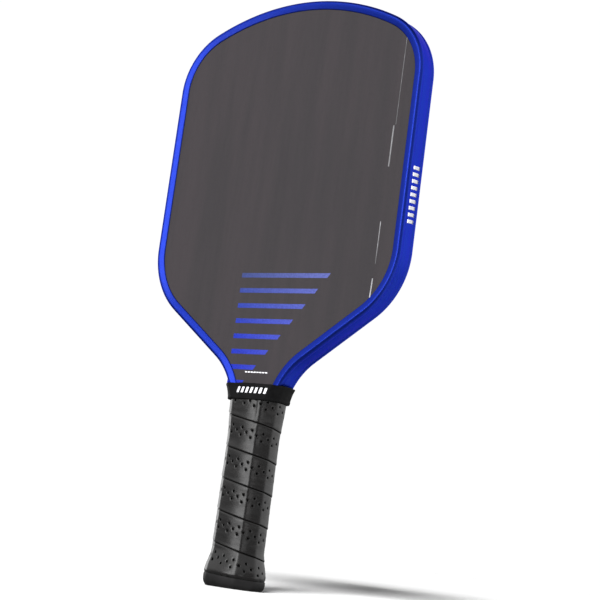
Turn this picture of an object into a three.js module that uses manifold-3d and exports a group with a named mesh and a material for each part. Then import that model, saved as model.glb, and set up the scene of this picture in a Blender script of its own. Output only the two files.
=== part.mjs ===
// Pickleball paddle, built as it comes apart on a bench.
// Millimetres. +Z runs from the butt to the crown of the blade, +X across the blade,
// and the front hitting face looks towards -Y. The origin is the centre of the butt end.
import * as THREE from 'three';
import { mergeVertices } from 'three/addons/utils/BufferGeometryUtils.js';
import Module from 'manifold-3d';

const wasm = await Module();
wasm.setup();

// ---- Driving dimensions ----

const GAP = 0.3; // clearance left between neighbouring pieces

// Blade outline, measured over the edge guard
const LENGTH = 406.4;
const WIDTH = 203.2;
const CROWN_RADIUS = 170.5;
const CORNER_RADIUS = 47.5;
const SHOULDER_RADIUS = 55;
const SHOULDER_HEIGHT = 201; // where side line and diagonal would meet
const SHOULDER_ANGLE = 0.936; // diagonal against the vertical, radians
const THROAT_HALF_WIDTH = 17.6;
const THROAT_RADIUS = 46.2;

// Layers of the blade, from the middle outwards
const CORE_THICKNESS = 11.2;
const PLY_THICKNESS = 0.4;
const FACE_THICKNESS = 0.4;
const FOAM_WIDTH = 7;
const FOAM_RISE = 32; // where the foam ends, over the centre of the throat arc
const CELL_PITCH = 18;
const CELL_WALL = 1;

// Edge guard
const GUARD_INSET = 2.2; // from the outside of the guard to the edge of the layers
const GUARD_LIP = 6.35; // width of the guard seen from the front
const GUARD_CREST = 8.5; // height of the bead over the middle plane
const GUARD_RECESS = 0.45; // side wall set back between the two beads
const GUARD_WALL_TOP = 5.4; // height of the side wall over the middle plane
const GUARD_STEP = 0.7; // height of the step from the side wall out to the bead
const GUARD_FEATHER = 0.15; // thickness of the lip at its inner edge
const BEAD_ROUNDNESS = 0.7; // below 1 gives the bead fuller shoulders than an ellipse
const GUARD_END = 129.8;

// Handle: an octagon given by half width, half thickness and corner cut
const GRIP_HALF_WIDTH = 18.3;
const GRIP_HALF_THICKNESS = 12.7;
const GRIP_CUT = 8.05;
const GRIP_WALL = 1.7;
const GRIP_BOTTOM = 7.7;
const GRIP_TOP = 125.6;
const FLARE = 3.1; // growth of the handle at the butt, on every side
const FLARE_BOTTOM = 8.3;
const FLARE_TOP = 25.4;
const FLARE_STEPS = 6;
const SHELL_BOTTOM = 4.3;
const SHELL_TOP = 129.4;
const TANG_HALF_WIDTH = 10.5;
const TANG_BOTTOM = 6;
const RAMP_HALF_WIDTH = 8.5; // of the wedge that ends each shell under the collar
const RAMP_ROOT = 2; // the wedge starts this far down inside its shell
const RAMP_TOP = 134.6;
const RAMP_TIP = 1; // thickness of the wedge at its top
const TAPE_WALL = 0.4;

// Butt cap, badge and staples
const CAP_FLOOR = 4;
const CAP_FOOT_INSET = 2.6; // rounding of the cap's lower edge, inwards
const CAP_FOOT_HEIGHTS = [0, 0.4, 1.4, 3, 4.8, 6.4]; // the last one is the height of the rounding
const CAP_SKIRT_HEIGHTS = [9, 12, 15, 18];
const BADGE_HALF_WIDTH = 11;
const BADGE_HALF_THICKNESS = 7.5;
const BADGE_RECESS = 1.6;
const STAPLE_WIRE = 0.7;
const STAPLE_WIDTH = 7;
const STAPLE_LEG = 4.6;
const STAPLE_SUNK = 0.5; // depth of a staple's crown below the cap's skirt
const STAPLE_OFFSET = 5; // centre of a staple from the middle of the handle
const STAPLE_HEIGHT = 13;
const SLOT_REACH = 4; // a slot is cut this far out past its staple

// Rubber collar
const COLLAR_WALL = 1;
const COLLAR_LOWER = { z: 123.7, halfWidth: 21.2, halfThickness: 14.3, cut: 8.2 };
const COLLAR_UPPER = { z: 134.9, halfWidth: 24.1, halfThickness: 12.3, cut: 5 };

// ---- Values that follow from them ----

const faceOuter = CORE_THICKNESS / 2 + GAP + PLY_THICKNESS + GAP + FACE_THICKNESS;
const sheathInset = GRIP_WALL + GAP; // from the outside of the grip to the cap and shells
const OVERRUN = 1; // a cutter runs this far past what it cuts

// ---- Geometry helpers ----

function closedGeometry(positions, triangles) {
  const geometry = new THREE.BufferGeometry();
  geometry.setAttribute('position', new THREE.Float32BufferAttribute(positions, 3));
  geometry.setIndex(triangles);
  return geometry;
}

// A solid skinned over rings of equal point count. The flat contour triangulates both ends.
function loft(rings, contour) {
  const count = contour.length;
  const caps = THREE.ShapeUtils.triangulateShape(contour, []);
  const last = (rings.length - 1) * count;
  const triangles = [];
  for (let i = 0; i < rings.length - 1; i++) {
    for (let j = 0; j < count; j++) {
      const a = i * count + j;
      const b = i * count + ((j + 1) % count);
      triangles.push(a, b, b + count, a, b + count, a + count);
    }
  }
  for (const [a, b, c] of caps) {
    triangles.push(a, c, b, last + a, last + b, last + c);
  }
  return closedGeometry(rings.flat().flatMap((point) => point.toArray()), triangles);
}

function toSolid(geometry) {
  const bare = geometry.clone();
  bare.deleteAttribute('normal');
  bare.deleteAttribute('uv');
  const merged = mergeVertices(bare);
  const mesh = new wasm.Mesh({
    numProp: 3,
    vertProperties: new Float32Array(merged.attributes.position.array),
    triVerts: new Uint32Array(merged.index.array),
  });
  return new wasm.Manifold(mesh);
}

function toGeometry(solid) {
  const mesh = solid.getMesh();
  return closedGeometry(Array.from(mesh.vertProperties), Array.from(mesh.triVerts));
}

function subtract(geometry, ...cutters) {
  return toGeometry(cutters.reduce((solid, cutter) => solid.subtract(toSolid(cutter)), toSolid(geometry)));
}

function add(geometry, ...others) {
  return toGeometry(others.reduce((solid, other) => solid.add(toSolid(other)), toSolid(geometry)));
}

function box(low, high) {
  const size = new THREE.Vector3().subVectors(high, low);
  const centre = new THREE.Vector3().addVectors(low, high).multiplyScalar(0.5);
  return new THREE.BoxGeometry(size.x, size.y, size.z).translate(centre.x, centre.y, centre.z);
}

// A flat plate parallel to the hitting faces, from the plane y = from to y = to
function plate(shape, from, to) {
  const geometry = new THREE.ExtrudeGeometry(shape, { depth: to - from, bevelEnabled: false });
  return geometry.rotateX(Math.PI / 2).translate(0, to, 0);
}

function arc(centre, radius, from, to, steps) {
  return Array.from({ length: steps + 1 }, (_, i) => {
    const angle = THREE.MathUtils.lerp(from, to, i / steps);
    return new THREE.Vector2(centre.x + radius * Math.cos(angle), centre.y + radius * Math.sin(angle));
  });
}

function mirrored(points) {
  return points.map((point) => new THREE.Vector2(-point.x, point.y)).reverse();
}

// ---- Blade outline ----

function throatCentre() {
  const rise = (WIDTH / 2 - THROAT_HALF_WIDTH) / Math.tan(SHOULDER_ANGLE);
  const tangent = THROAT_RADIUS * Math.tan(SHOULDER_ANGLE / 2);
  return new THREE.Vector2(THROAT_HALF_WIDTH + THROAT_RADIUS, SHOULDER_HEIGHT - rise - tangent);
}

// The stretch of the throat arc between two heights, on the right side, going up
function throatArc(inset, fromHeight, toHeight, steps) {
  const centre = throatCentre();
  const radius = THROAT_RADIUS + inset;
  const angleAt = (height) => Math.PI - Math.asin((height - centre.y) / radius);
  return arc(centre, radius, angleAt(fromHeight), angleAt(toHeight), steps);
}

// Right half of the outline, from a height in the throat up to the crown, moved inwards by inset
function rightOutline(inset, fromHeight) {
  const throat = throatCentre();
  const throatRadius = THROAT_RADIUS + inset;
  const throatStart = Math.PI - Math.asin((fromHeight - throat.y) / throatRadius);
  const shoulder = new THREE.Vector2(
    WIDTH / 2 - SHOULDER_RADIUS,
    SHOULDER_HEIGHT + SHOULDER_RADIUS * Math.tan(SHOULDER_ANGLE / 2),
  );
  const crown = new THREE.Vector2(0, LENGTH - CROWN_RADIUS);
  const across = WIDTH / 2 - CORNER_RADIUS;
  const between = Math.sqrt((CROWN_RADIUS - CORNER_RADIUS) ** 2 - across ** 2);
  const corner = new THREE.Vector2(across, crown.y + between);
  const meeting = Math.atan2(between, across);
  return [
    ...arc(throat, throatRadius, throatStart, Math.PI - SHOULDER_ANGLE, 6),
    ...arc(shoulder, SHOULDER_RADIUS - inset, -SHOULDER_ANGLE, 0, 6),
    ...arc(corner, CORNER_RADIUS - inset, 0, meeting, 10),
    ...arc(crown, CROWN_RADIUS - inset, meeting, Math.PI / 2, 7).slice(1),
  ];
}

function bladeOutline(inset, fromHeight) {
  const right = rightOutline(inset, fromHeight);
  return [...right, ...mirrored(right).slice(1)];
}

// A layer of the blade with its tang, which runs down inside the handle
function layerShape() {
  return new THREE.Shape([
    new THREE.Vector2(-TANG_HALF_WIDTH, TANG_BOTTOM),
    new THREE.Vector2(TANG_HALF_WIDTH, TANG_BOTTOM),
    new THREE.Vector2(TANG_HALF_WIDTH, GUARD_END),
    ...bladeOutline(GUARD_INSET, GUARD_END),
    new THREE.Vector2(-TANG_HALF_WIDTH, GUARD_END),
  ]);
}

// ---- Blade pieces ----

const foamEnd = throatCentre().y + FOAM_RISE;
const foamInset = GUARD_INSET + FOAM_WIDTH;
const coreInset = foamInset + GAP;

function hexagon(centre, radius) {
  return new THREE.Path(arc(centre, radius, Math.PI / 6, Math.PI / 6 + (5 * Math.PI) / 3, 5));
}

// Centres of the cells that lie wholly inside the core
function cellCentres() {
  const rowStep = (CELL_PITCH * Math.sqrt(3)) / 2;
  const reach = CELL_PITCH / 2 + 2 * CELL_WALL;
  const limit = bladeOutline(coreInset + reach, foamEnd);
  const low = foamEnd + reach;
  const centres = [];
  for (let row = 0; low + row * rowStep < LENGTH; row++) {
    const height = low + row * rowStep;
    const shift = row % 2 === 0 ? 0 : CELL_PITCH / 2;
    for (let x = shift - WIDTH; x < WIDTH; x += CELL_PITCH) {
      const centre = new THREE.Vector2(x, height);
      if (isInside(centre, limit)) {
        centres.push(centre);
      }
    }
  }
  return centres;
}

function isInside(point, outline) {
  let inside = false;
  for (let i = 0; i < outline.length; i++) {
    const a = outline[i];
    const b = outline[(i + 1) % outline.length];
    const crosses = a.y > point.y !== b.y > point.y;
    if (crosses && point.x < a.x + ((point.y - a.y) * (b.x - a.x)) / (b.y - a.y)) {
      inside = !inside;
    }
  }
  return inside;
}

function coreGeometry() {
  const throat = throatArc(GUARD_INSET, GUARD_END, foamEnd, 5);
  const right = [
    new THREE.Vector2(TANG_HALF_WIDTH, TANG_BOTTOM),
    new THREE.Vector2(TANG_HALF_WIDTH, GUARD_END),
    ...throat,
    ...rightOutline(coreInset, foamEnd),
  ];
  const shape = new THREE.Shape([...right, ...mirrored(right).slice(1)]);
  const cellRadius = (CELL_PITCH - CELL_WALL) / Math.sqrt(3);
  shape.holes = cellCentres().map((centre) => hexagon(centre, cellRadius));
  return plate(shape, -CORE_THICKNESS / 2, CORE_THICKNESS / 2);
}

function foamGeometry() {
  const outer = bladeOutline(GUARD_INSET, foamEnd + GAP);
  const inner = bladeOutline(foamInset, foamEnd + GAP).reverse();
  return plate(new THREE.Shape([...outer, ...inner]), -CORE_THICKNESS / 2, CORE_THICKNESS / 2);
}

// side is -1 for the front and +1 for the rear; from is the distance off the middle plane
function layerGeometry(side, from, thickness) {
  const near = side * from;
  const far = side * (from + thickness);
  return plate(layerShape(), Math.min(near, far), Math.max(near, far));
}

// Upper half of the guard's section. x is the distance outside the outline, y the one off the
// middle plane. It runs from the side wall over the bead to the floor of the channel.
function guardHalfSection() {
  const channel = faceOuter + GAP;
  const beadFoot = channel - GUARD_FEATHER;
  const beadHeight = GUARD_CREST - beadFoot;
  const beadSteps = 6;
  const bead = Array.from({ length: beadSteps }, (_, i) => {
    const angle = (Math.PI * i) / beadSteps;
    const across = (GUARD_LIP / 2) * (Math.cos(angle) - 1);
    return new THREE.Vector2(across, beadFoot + beadHeight * Math.sin(angle) ** BEAD_ROUNDNESS);
  });
  return [
    new THREE.Vector2(-GUARD_RECESS, GUARD_WALL_TOP),
    new THREE.Vector2(0, GUARD_WALL_TOP + GUARD_STEP),
    ...bead,
    new THREE.Vector2(-GUARD_LIP, channel + GUARD_FEATHER),
    new THREE.Vector2(GUARD_FEATHER - GUARD_LIP, channel),
    new THREE.Vector2(GAP - GUARD_INSET, channel),
  ];
}

function guardGeometry() {
  const half = guardHalfSection();
  const section = [...half, ...half.map((point) => new THREE.Vector2(point.x, -point.y)).reverse()];
  const outlines = section.map((point) => bladeOutline(-point.x, GUARD_END));
  const rings = outlines[0].map((_, station) =>
    section.map((point, j) => {
      const place = outlines[j][station];
      return new THREE.Vector3(place.x, point.y, place.y);
    }),
  );
  return loft(rings, section);
}

// ---- Handle pieces ----

function octagon(halfWidth, halfThickness, cut) {
  const flatX = halfWidth - cut;
  const flatY = halfThickness - cut;
  return [
    new THREE.Vector2(halfWidth, -flatY),
    new THREE.Vector2(halfWidth, flatY),
    new THREE.Vector2(flatX, halfThickness),
    new THREE.Vector2(-flatX, halfThickness),
    new THREE.Vector2(-halfWidth, flatY),
    new THREE.Vector2(-halfWidth, -flatY),
    new THREE.Vector2(-flatX, -halfThickness),
    new THREE.Vector2(flatX, -halfThickness),
  ];
}

function atHeight(points, z) {
  return points.map((point) => new THREE.Vector3(point.x, point.y, z));
}

// The corner cut of an octagon moved inwards stays parallel when it shrinks by this share
const CUT_SHARE = 2 - Math.SQRT2;

function handleSection(inset, growth) {
  return octagon(
    GRIP_HALF_WIDTH + growth - inset,
    GRIP_HALF_THICKNESS + growth - inset,
    GRIP_CUT + (growth - inset) * CUT_SHARE,
  );
}

function handleLoft(inset, heights, growthAt) {
  const rings = heights.map((z) => atHeight(handleSection(inset, growthAt(z)), z));
  return loft(rings, handleSection(inset, 0));
}

function flareAt(z) {
  return FLARE * (1 - THREE.MathUtils.smoothstep(z, FLARE_BOTTOM, FLARE_TOP));
}

const noFlare = () => 0;

function gripGeometry() {
  const flareHeights = Array.from({ length: FLARE_STEPS + 1 }, (_, i) =>
    THREE.MathUtils.lerp(FLARE_BOTTOM, FLARE_TOP, i / FLARE_STEPS),
  );
  const outer = handleLoft(0, [GRIP_BOTTOM, ...flareHeights, GRIP_TOP], flareAt);
  const past = [GRIP_BOTTOM - OVERRUN, ...flareHeights, GRIP_TOP + OVERRUN];
  return subtract(outer, handleLoft(GRIP_WALL, past, flareAt));
}

// U-shaped wire that pins the cap to a shell. margin grows it on every side, for its slot.
function staple(sideX, margin, reach) {
  const half = STAPLE_WIDTH / 2 + margin;
  const wire = STAPLE_WIRE + 2 * margin;
  const crown = -(GRIP_HALF_THICKNESS + flareAt(STAPLE_HEIGHT) - sheathInset - STAPLE_SUNK);
  const outside = crown - reach;
  const inside = crown + STAPLE_WIRE + margin;
  const tip = crown + STAPLE_LEG + margin;
  const shape = new THREE.Shape([
    new THREE.Vector2(-half, outside),
    new THREE.Vector2(half, outside),
    new THREE.Vector2(half, tip),
    new THREE.Vector2(half - wire, tip),
    new THREE.Vector2(half - wire, inside),
    new THREE.Vector2(wire - half, inside),
    new THREE.Vector2(wire - half, tip),
    new THREE.Vector2(-half, tip),
  ]);
  const geometry = new THREE.ExtrudeGeometry(shape, { depth: wire, bevelEnabled: false });
  return geometry.translate(sideX * STAPLE_OFFSET, 0, STAPLE_HEIGHT - wire / 2);
}

function stapleSlots() {
  return [-1, 1].map((sideX) => staple(sideX, GAP, SLOT_REACH));
}

// The front shell. The rear one is the same piece turned half a turn about the handle's axis.
function shellGeometry() {
  const wide = GRIP_HALF_WIDTH;
  const roomY = faceOuter + GAP;
  const blank = handleLoft(sheathInset, [SHELL_BOTTOM, SHELL_TOP], noFlare);
  const tangRoom = box(
    new THREE.Vector3(-TANG_HALF_WIDTH - GAP, -roomY, 0),
    new THREE.Vector3(TANG_HALF_WIDTH + GAP, roomY, RAMP_TOP),
  );
  const otherHalf = box(new THREE.Vector3(-wide, -GAP / 2, 0), new THREE.Vector3(wide, wide, RAMP_TOP));
  const rampAt = (thickness, z) => [
    new THREE.Vector3(-RAMP_HALF_WIDTH, -roomY - thickness, z),
    new THREE.Vector3(RAMP_HALF_WIDTH, -roomY - thickness, z),
    new THREE.Vector3(RAMP_HALF_WIDTH, -roomY, z),
    new THREE.Vector3(-RAMP_HALF_WIDTH, -roomY, z),
  ];
  const rampContour = rampAt(RAMP_TIP, 0).map((point) => new THREE.Vector2(point.x, point.y));
  const rootThickness = GRIP_HALF_THICKNESS - sheathInset - RAMP_TIP - roomY;
  const rings = [rampAt(rootThickness, SHELL_TOP - RAMP_ROOT), rampAt(RAMP_TIP, RAMP_TOP)];
  return add(subtract(blank, tangRoom, otherHalf, ...stapleSlots()), loft(rings, rampContour));
}

function tapeGeometry() {
  const low = GRIP_TOP + GAP;
  const outer = handleLoft(sheathInset - GAP - TAPE_WALL, [low, SHELL_TOP], noFlare);
  const inner = handleLoft(sheathInset - GAP, [low - OVERRUN, SHELL_TOP + OVERRUN], noFlare);
  return subtract(outer, inner);
}

// How far the cap's outside stands proud of the plain handle at a height of its foot
function footGrowth(z) {
  const rounding = CAP_FOOT_HEIGHTS.at(-1);
  const below = 1 - Math.min(z / rounding, 1);
  return FLARE - CAP_FOOT_INSET * (1 - Math.sqrt(1 - below ** 2));
}

function capGeometry() {
  const shoulder = GRIP_BOTTOM - GAP;
  const top = CAP_SKIRT_HEIGHTS.at(-1);
  const foot = [...CAP_FOOT_HEIGHTS, shoulder].map((z) => atHeight(handleSection(0, footGrowth(z)), z));
  const skirt = [shoulder, ...CAP_SKIRT_HEIGHTS].map((z) =>
    atHeight(handleSection(sheathInset, flareAt(z)), z),
  );
  const blank = loft([...foot, ...skirt], handleSection(0, 0));
  const socket = handleLoft(sheathInset - GAP, [CAP_FLOOR, top + OVERRUN], noFlare);
  const recess = badgeBlank(GAP, BADGE_RECESS + OVERRUN).translate(0, 0, -OVERRUN);
  const slots = stapleSlots();
  const rearSlots = stapleSlots().map((slot) => slot.rotateZ(Math.PI));
  return subtract(blank, socket, recess, ...slots, ...rearSlots);
}

function badgeBlank(margin, depth) {
  const shape = new THREE.Shape();
  shape.absellipse(0, 0, BADGE_HALF_WIDTH + margin, BADGE_HALF_THICKNESS + margin, 0, 2 * Math.PI);
  return new THREE.ExtrudeGeometry(shape, { depth, bevelEnabled: false, curveSegments: 28 });
}

function badgeGeometry() {
  return badgeBlank(0, BADGE_RECESS - 2 * GAP).translate(0, 0, GAP);
}

function collarGeometry() {
  const sectionAt = ({ halfWidth, halfThickness, cut }, inset) =>
    octagon(halfWidth - inset, halfThickness - inset, cut - inset * CUT_SHARE);
  const skin = (inset, overrun) => {
    const rings = [COLLAR_LOWER, COLLAR_UPPER].map((end, i) =>
      atHeight(sectionAt(end, inset), end.z + (i === 0 ? -overrun : overrun)),
    );
    return loft(rings, sectionAt(COLLAR_LOWER, inset));
  };
  return subtract(skin(0, 0), skin(COLLAR_WALL, OVERRUN));
}

// ---- Materials and assembly ----

function material(color, roughness, metalness) {
  return new THREE.MeshStandardMaterial({ color, roughness, metalness, flatShading: true });
}

const honeycomb = material(0xe4e6e2, 0.6, 0);
const foam = material(0xd9c9a4, 0.9, 0);
const glassPly = material(0xb9c7b4, 0.5, 0);
const carbon = material(0x3c3a38, 0.75, 0.1);
const blueGuard = material(0x1622c8, 0.3, 0.4);
const shellFoam = material(0xc9b48a, 0.9, 0);
const blackPlastic = material(0x1b1b1d, 0.45, 0);
const badgeGrey = material(0x4c4c50, 0.4, 0);
const steel = material(0xa9adb2, 0.3, 0.9);
const blackGrip = material(0x222123, 0.5, 0);
const blackTape = material(0x17171a, 0.6, 0);
const blackRubber = material(0x141416, 0.7, 0);

function piece(name, geometry, finish) {
  geometry.computeVertexNormals();
  const mesh = new THREE.Mesh(geometry, finish);
  mesh.name = name;
  return mesh;
}

function bladePieces() {
  const plyFrom = CORE_THICKNESS / 2 + GAP;
  const faceFrom = plyFrom + PLY_THICKNESS + GAP;
  const sides = { front: -1, rear: 1 };
  const layers = Object.entries(sides).flatMap(([name, side]) => [
    piece(`${name}_inner_ply`, layerGeometry(side, plyFrom, PLY_THICKNESS), glassPly),
    piece(`${name}_carbon_face`, layerGeometry(side, faceFrom, FACE_THICKNESS), carbon),
  ]);
  return [
    piece('honeycomb_core', coreGeometry(), honeycomb),
    piece('perimeter_foam', foamGeometry(), foam),
    ...layers,
    piece('edge_guard', guardGeometry(), blueGuard),
  ];
}

function staplePieces(side) {
  return [-1, 1].map((sideX) => {
    const place = sideX < 0 ? 'left' : 'right';
    return piece(`cap_staple_${side}_${place}`, staple(sideX, 0, 0), steel);
  });
}

// Pieces that repeat on the rear, turned half a turn about the handle's axis
function handleSide(side, turn) {
  const group = new THREE.Group();
  group.add(piece(`${side}_handle_shell`, shellGeometry(), shellFoam), ...staplePieces(side));
  group.rotation.z = turn;
  return group;
}

const paddle = new THREE.Group();
paddle.add(
  ...bladePieces(),
  handleSide('front', 0),
  handleSide('rear', Math.PI),
  piece('butt_cap', capGeometry(), blackPlastic),
  piece('butt_badge', badgeGeometry(), badgeGrey),
  piece('grip_wrap', gripGeometry(), blackGrip),
  piece('grip_end_tape', tapeGeometry(), blackTape),
  piece('grip_collar', collarGeometry(), blackRubber),
);

export default paddle;
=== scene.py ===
"""Looks of a pickleball paddle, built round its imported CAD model.

The frame is the CAD's: +Z from the butt to the crown, +X across the blade, front face towards -Y.
Shapes are worked out in millimetres and written to the meshes in metres.
"""

import math

import bmesh
import bpy
import numpy as np
from mathutils import Matrix, Vector, noise
from mathutils.bvhtree import BVHTree
from mathutils.geometry import delaunay_2d_cdt


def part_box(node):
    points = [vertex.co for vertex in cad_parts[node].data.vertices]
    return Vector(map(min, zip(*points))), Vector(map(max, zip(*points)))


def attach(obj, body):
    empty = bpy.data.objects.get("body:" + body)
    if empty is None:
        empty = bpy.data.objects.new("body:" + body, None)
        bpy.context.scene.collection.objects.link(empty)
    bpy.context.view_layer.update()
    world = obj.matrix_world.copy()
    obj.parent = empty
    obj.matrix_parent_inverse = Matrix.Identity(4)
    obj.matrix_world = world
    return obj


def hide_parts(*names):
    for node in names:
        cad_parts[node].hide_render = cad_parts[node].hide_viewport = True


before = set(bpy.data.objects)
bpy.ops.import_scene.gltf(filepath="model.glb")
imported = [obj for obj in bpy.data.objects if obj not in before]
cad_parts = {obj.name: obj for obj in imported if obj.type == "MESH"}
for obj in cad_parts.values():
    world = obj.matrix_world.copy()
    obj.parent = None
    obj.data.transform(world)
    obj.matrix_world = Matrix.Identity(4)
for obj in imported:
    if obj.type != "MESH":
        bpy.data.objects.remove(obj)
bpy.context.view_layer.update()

MM = 0.001


def box_mm(node):
    """Lowest and highest corner of a CAD node, in millimetres."""
    low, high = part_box(node)
    return np.array(low) / MM, np.array(high) / MM


# ---- Sizes read from the frame ----

GUARD_LOW, GUARD_HIGH = box_mm("edge_guard")
FACE_LOW, _ = box_mm("front_carbon_face")
GRIP_LOW, GRIP_HIGH = box_mm("grip_wrap")
COLLAR_LOW, COLLAR_HIGH = box_mm("grip_collar")
CAP_LOW, CAP_HIGH = box_mm("butt_cap")
BADGE_LOW, BADGE_HIGH = box_mm("butt_badge")

LENGTH = GUARD_HIGH[2]
WIDTH = GUARD_HIGH[0] - GUARD_LOW[0]
FACE_Y = -FACE_LOW[1]  # height of the hitting faces over the middle plane
GUARD_CREST = GUARD_HIGH[1]
GUARD_END = GUARD_LOW[2]

# ---- Driving dimensions that the boxes don't show ----

CROWN_RADIUS = 170.5
CORNER_RADIUS = 47.5
SHOULDER_RADIUS = 55
SHOULDER_HEIGHT = 201  # where the side and the diagonal below it would meet
SHOULDER_ANGLE = 0.936  # of the diagonal off the vertical, in radians
THROAT_HALF_WIDTH = 17.6
THROAT_RADIUS = 46.2

HANDLE = (18.35, 12.75, 7.9)  # half width, half thickness and corner cut of the octagon
HANDLE_ROUNDING = 3.6
FACET_CROWN = 0.036  # how far the middle of each side of an octagon bulges, as a share of its length
FLARE = 3.1
FLARE_BOTTOM = 8.3
FLARE_TOP = 25.4


# ---- Mesh helpers ----

def in_scene(name, data):
    """A new object in the scene, from its mesh, light or camera."""
    made = bpy.data.objects.new(name, data)
    bpy.context.scene.collection.objects.link(made)
    return made


def mesh_object(name, points, faces, material, smooth=True):
    """A new object from points in millimetres. Its faces are made to look outwards."""
    mesh = bpy.data.meshes.new(name)
    mesh.from_pydata([tuple(p) for p in np.asarray(points, float) * MM], [], [tuple(f) for f in faces])
    mesh.validate()
    work = bmesh.new()
    work.from_mesh(mesh)
    bmesh.ops.recalc_face_normals(work, faces=work.faces)
    work.to_mesh(mesh)
    work.free()
    mesh.polygons.foreach_set("use_smooth", [smooth] * len(mesh.polygons))
    mesh.materials.append(material)
    return in_scene(name, mesh)


def loft(rings, closed=False):
    """Points and faces of a skin over rings of equal point count. Open lofts get a face on each end."""
    rings = np.asarray(rings, float)
    count, size = rings.shape[:2]
    points = rings.reshape(-1, 3)
    faces = []
    for i in range(count if closed else count - 1):
        here = i * size
        there = ((i + 1) % count) * size
        for j in range(size):
            k = (j + 1) % size
            faces.append((here + j, here + k, there + k, there + j))
    if not closed:
        faces.append(tuple(range(size))[::-1])
        faces.append(tuple(range((count - 1) * size, count * size)))
    return points, faces


def join_parts(parts):
    """Several (points, faces) pairs as one."""
    points = []
    faces = []
    for part_points, part_faces in parts:
        start = len(points)
        points.extend(part_points)
        faces.extend(tuple(start + i for i in face) for face in part_faces)
    return points, faces


def arc(centre, radius, start, end, steps):
    angles = np.linspace(start, end, steps + 1)
    return np.stack([centre[0] + radius * np.cos(angles), centre[1] + radius * np.sin(angles)], 1)


def smooth_noise(point, scale, seed):
    """Noise from -1 to 1 at a point in millimetres. scale is the size of its bumps on each axis."""
    return noise.noise(Vector((point[0] / scale[0] + seed, point[1] / scale[1] - seed, point[2] / scale[2])))


# ---- Blade outline ----

THROAT_STEPS = 18
SHOULDER_STEPS = 26
CORNER_STEPS = 40
CROWN_STEPS = 26  # on each half of the crown
STRAIGHT_STEPS = 10
SHORTEST_STRAIGHT = 8  # ends that are nearer than this are joined without points between


def throat_centre():
    """Centre (x, z) of the arc that leads from the right diagonal to the throat."""
    rise = (WIDTH / 2 - THROAT_HALF_WIDTH) / math.tan(SHOULDER_ANGLE)
    tangent = THROAT_RADIUS * math.tan(SHOULDER_ANGLE / 2)
    return np.array([THROAT_HALF_WIDTH + THROAT_RADIUS, SHOULDER_HEIGHT - rise - tangent])


def blade_outline(inset, from_height):
    """Outline from the right throat over the crown to the left throat, moved inwards by inset."""
    throat = throat_centre()
    throat_radius = THROAT_RADIUS + inset
    throat_start = math.pi - math.asin((from_height - throat[1]) / throat_radius)
    shoulder = (WIDTH / 2 - SHOULDER_RADIUS, SHOULDER_HEIGHT + SHOULDER_RADIUS * math.tan(SHOULDER_ANGLE / 2))
    crown = (0, LENGTH - CROWN_RADIUS)
    across = WIDTH / 2 - CORNER_RADIUS
    between = math.sqrt((CROWN_RADIUS - CORNER_RADIUS) ** 2 - across**2)
    corner = (across, crown[1] + between)
    meeting = math.atan2(between, across)
    stretches = [
        arc(throat, throat_radius, throat_start, math.pi - SHOULDER_ANGLE, THROAT_STEPS),
        arc(shoulder, SHOULDER_RADIUS - inset, -SHOULDER_ANGLE, 0, SHOULDER_STEPS),
        arc(corner, CORNER_RADIUS - inset, 0, meeting, CORNER_STEPS),
        arc(crown, CROWN_RADIUS - inset, meeting, math.pi / 2, CROWN_STEPS)[1:],
    ]
    right = with_straights(stretches)
    left = right[::-1][1:] * (-1, 1)
    return np.concatenate([right, left])


def with_straights(stretches):
    """The stretches in a row, with even points along each straight line from one to the next."""
    shares = np.linspace(0, 1, STRAIGHT_STEPS + 1)[1:-1, None]
    parts = [stretches[0]]
    for before, after in zip(stretches, stretches[1:]):
        if np.linalg.norm(after[0] - before[-1]) > SHORTEST_STRAIGHT:
            parts.append(before[-1] * (1 - shares) + after[0] * shares)
        parts.append(after)
    return np.concatenate(parts)


# ---- Octagonal rings of the handle ----

def octagon_ring(half_width, half_thickness, cut, rounding, per_side=6, per_corner=5):
    """Points and outward directions of a rounded octagon, from the middle of the front, anticlockwise."""
    flat_x = half_width - cut
    flat_y = half_thickness - cut
    right = np.array([(flat_x, -half_thickness), (half_width, -flat_y), (half_width, flat_y),
                      (flat_x, half_thickness)])
    corners = np.concatenate([right, -right])
    reach = rounding * math.tan(math.pi / 8)
    points = []
    normals = []
    for i in range(8):
        before, here, after = corners[i - 1], corners[i], corners[(i + 1) % 8]
        along = (here - before) / np.linalg.norm(here - before)
        outward = np.array([along[1], -along[0]])
        start = before + along * reach
        end = here - along * reach
        bulge = 4 * FACET_CROWN * np.linalg.norm(end - start)
        for share in np.linspace(0, 1, per_side, endpoint=False):
            points.append(start + (end - start) * share + outward * bulge * share * (1 - share))
            normals.append(outward)
        centre = end - outward * rounding
        heading = math.atan2(outward[1], outward[0])
        for share in np.linspace(0, 1, per_corner, endpoint=False):
            angle = heading + share * math.pi / 4
            direction = np.array([math.cos(angle), math.sin(angle)])
            points.append(centre + direction * rounding)
            normals.append(direction)
    shift = -(per_side // 2)
    return np.roll(np.array(points), shift, 0), np.roll(np.array(normals), shift, 0)


def ring_at(ring, z):
    return np.c_[ring, np.full(len(ring), z)]


def flare_at(z):
    """How far the handle's outside stands out at height z, towards its butt."""
    share = np.clip((np.asarray(z, float) - FLARE_BOTTOM) / (FLARE_TOP - FLARE_BOTTOM), 0, 1)
    return FLARE * (1 - share * share * (3 - 2 * share))


def handle_ring(z, inset, growth=None):
    """A ring of the handle's outside at height z, moved inwards by inset. growth takes the flare's place."""
    ring, normals = octagon_ring(*HANDLE, HANDLE_ROUNDING)
    out = (flare_at(z) if growth is None else growth) - inset
    return ring_at(ring + normals * out, z)


# ---- Edge guard ----

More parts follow.
